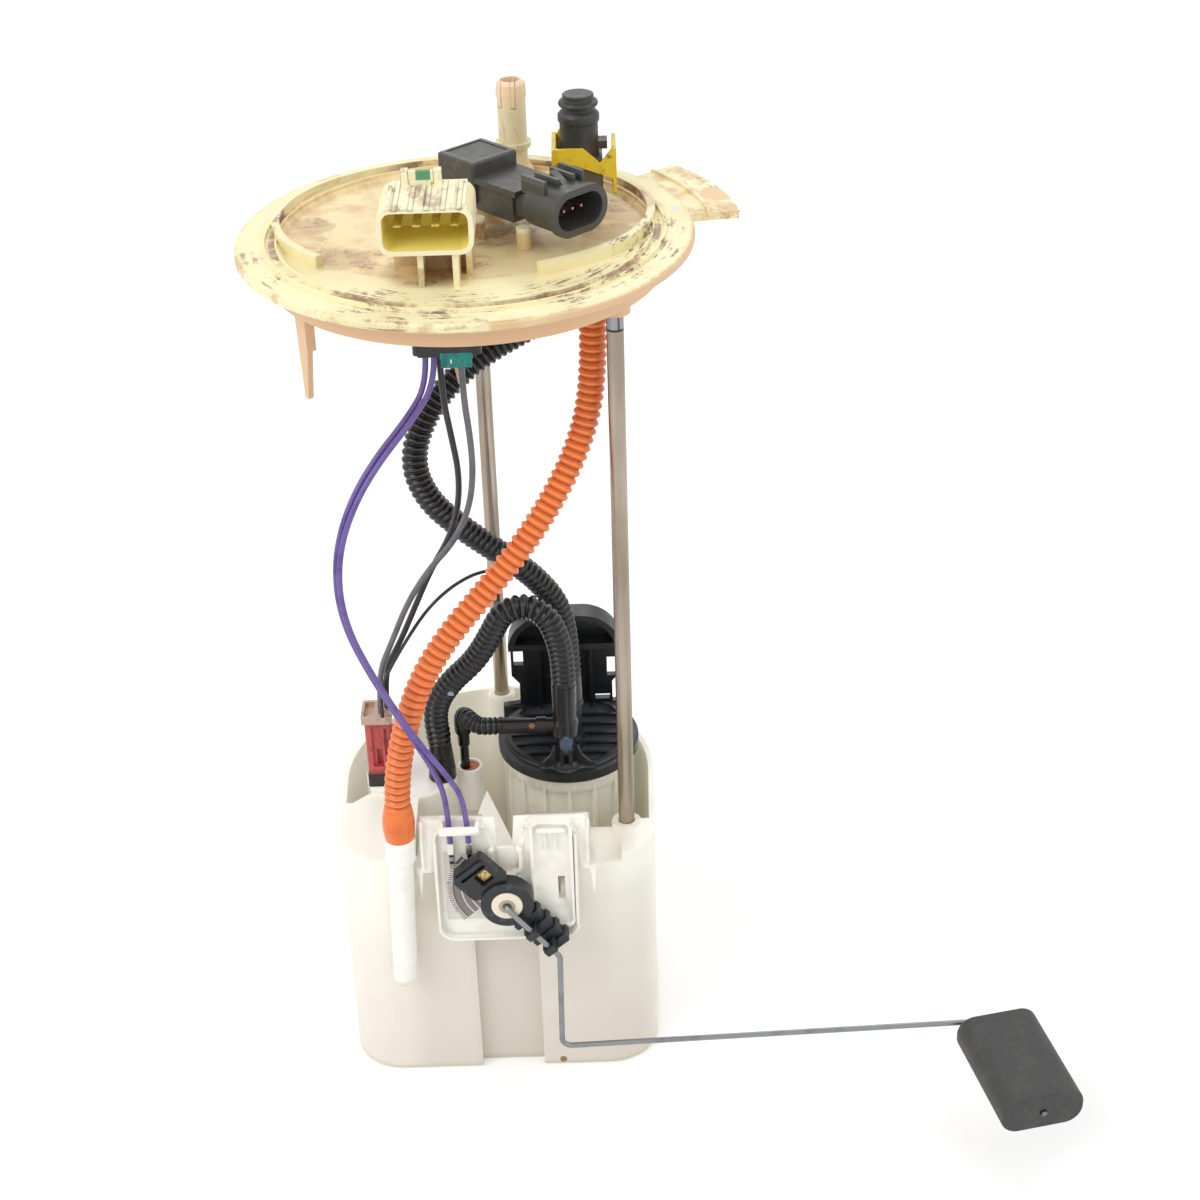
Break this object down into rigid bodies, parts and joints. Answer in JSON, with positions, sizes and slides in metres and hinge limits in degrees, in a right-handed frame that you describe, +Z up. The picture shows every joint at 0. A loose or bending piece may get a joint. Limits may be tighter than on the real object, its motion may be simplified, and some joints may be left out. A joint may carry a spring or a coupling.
{
  "type": "fuel pump module",
  "caption": "In-tank fuel pump module: a round flange with connectors slides on sprung steel rods over a reservoir that carries the pump, filter and float level sender.",
  "frame": {"origin": "underside of the reservoir, on the axis of the round flange", "axes": "+Z up along the guide rods and the flange axis, -Y towards the side with the level sender, +X towards the float"},
  "size_m": [0.3125, 0.2197, 0.3943],
  "materials": {
    "ivory_acetal": "satin",
    "tin_blade": "satin",
    "green_insert": "matte",
    "charcoal_plastic": "matte",
    "seal_rubber": "matte",
    "black_nylon": "satin",
    "yellow_clip": "satin",
    "guide_steel": "satin",
    "zinc_steel": "satin",
    "black_plastic": "satin",
    "teal_lock": "satin",
    "orange_hose": "satin",
    "black_hose": "gloss",
    "grey_lead": "satin",
    "black_lead": "satin",
    "purple_lead": "satin",
    "white_acetal": "satin",
    "spring_steel": "satin",
    "pump_can": "satin",
    "isolator_rubber": "matte",
    "strainer_mesh": "matte",
    "pink_connector": "satin",
    "tan_lock": "satin",
    "orange_seal": "matte",
    "filter_white": "satin",
    "filter_media": "matte",
    "card_ceramic": "matte",
    "contact_brass": "satin",
    "arm_wire": "satin",
    "float_foam": "matte"
  },
  "bodies": {
    "reservoir": {"return_hose": "orange_hose", "supply_hose": "black_hose", "wire_grey": "grey_lead", "wire_black": "black_lead", "wire_purple_left": "purple_lead", "wire_purple_right": "purple_lead", "reservoir": "white_acetal", "guide_bushes": "white_acetal", "springs": "spring_steel", "fill_valve": "seal_rubber", "pump_sleeve": "white_acetal", "pump": "pump_can", "pump_isolator": "isolator_rubber", "inlet_strainer": "strainer_mesh", "pump_connector_base": "black_plastic", "pump_connector": "pink_connector", "pump_connector_lock": "tan_lock", "ground_wire": "black_lead", "pump_hose": "black_hose", "jumper_hose": "black_hose", "pump_tee": "black_nylon", "jet_cup": "white_acetal", "jet_seal": "orange_seal", "jet_plug": "black_plastic", "filter_housing": "filter_white", "filter_element": "filter_media", "filter_cap": "black_plastic", "return_pipe": "white_acetal", "sender_bracket": "white_acetal", "sender_card": "card_ceramic", "sender_terminals": "tin_blade", "pivot_bush": "white_acetal"},
    "flange": {"flange": "ivory_acetal", "flange_terminals": "tin_blade", "terminal_lock": "green_insert", "pressure_sensor": "charcoal_plastic", "sensor_grommet": "seal_rubber", "sensor_terminals": "tin_blade", "outlet_fitting": "black_nylon", "outlet_plug": "charcoal_plastic", "retainer_clip": "yellow_clip", "rod_right": "guide_steel", "rod_left": "guide_steel", "rod_stops": "zinc_steel", "harness_plug": "black_plastic", "harness_plug_lock": "teal_lock"},
    "sender_arm": {"arm_holder": "black_plastic", "wiper_contact": "contact_brass", "float_arm": "arm_wire", "float": "float_foam"}
  },
  "joints": [
    {"name": "module_slide", "type": "slide", "parent": "reservoir", "child": "flange", "axis": [0, 0, 1], "range_m": [-0.045, 0], "stiffness_N_per_m": 800, "springref_m": 0.03, "deforming": ["springs", "return_hose", "supply_hose", "wire_grey", "wire_black", "wire_purple_left", "wire_purple_right"]},
    {"name": "float_swing", "type": "hinge", "parent": "reservoir", "child": "sender_arm", "pos_m": [0.0049, -0.08, 0.1027], "axis": [0, -1, 0], "range_deg": [0, 75]}
  ]
}
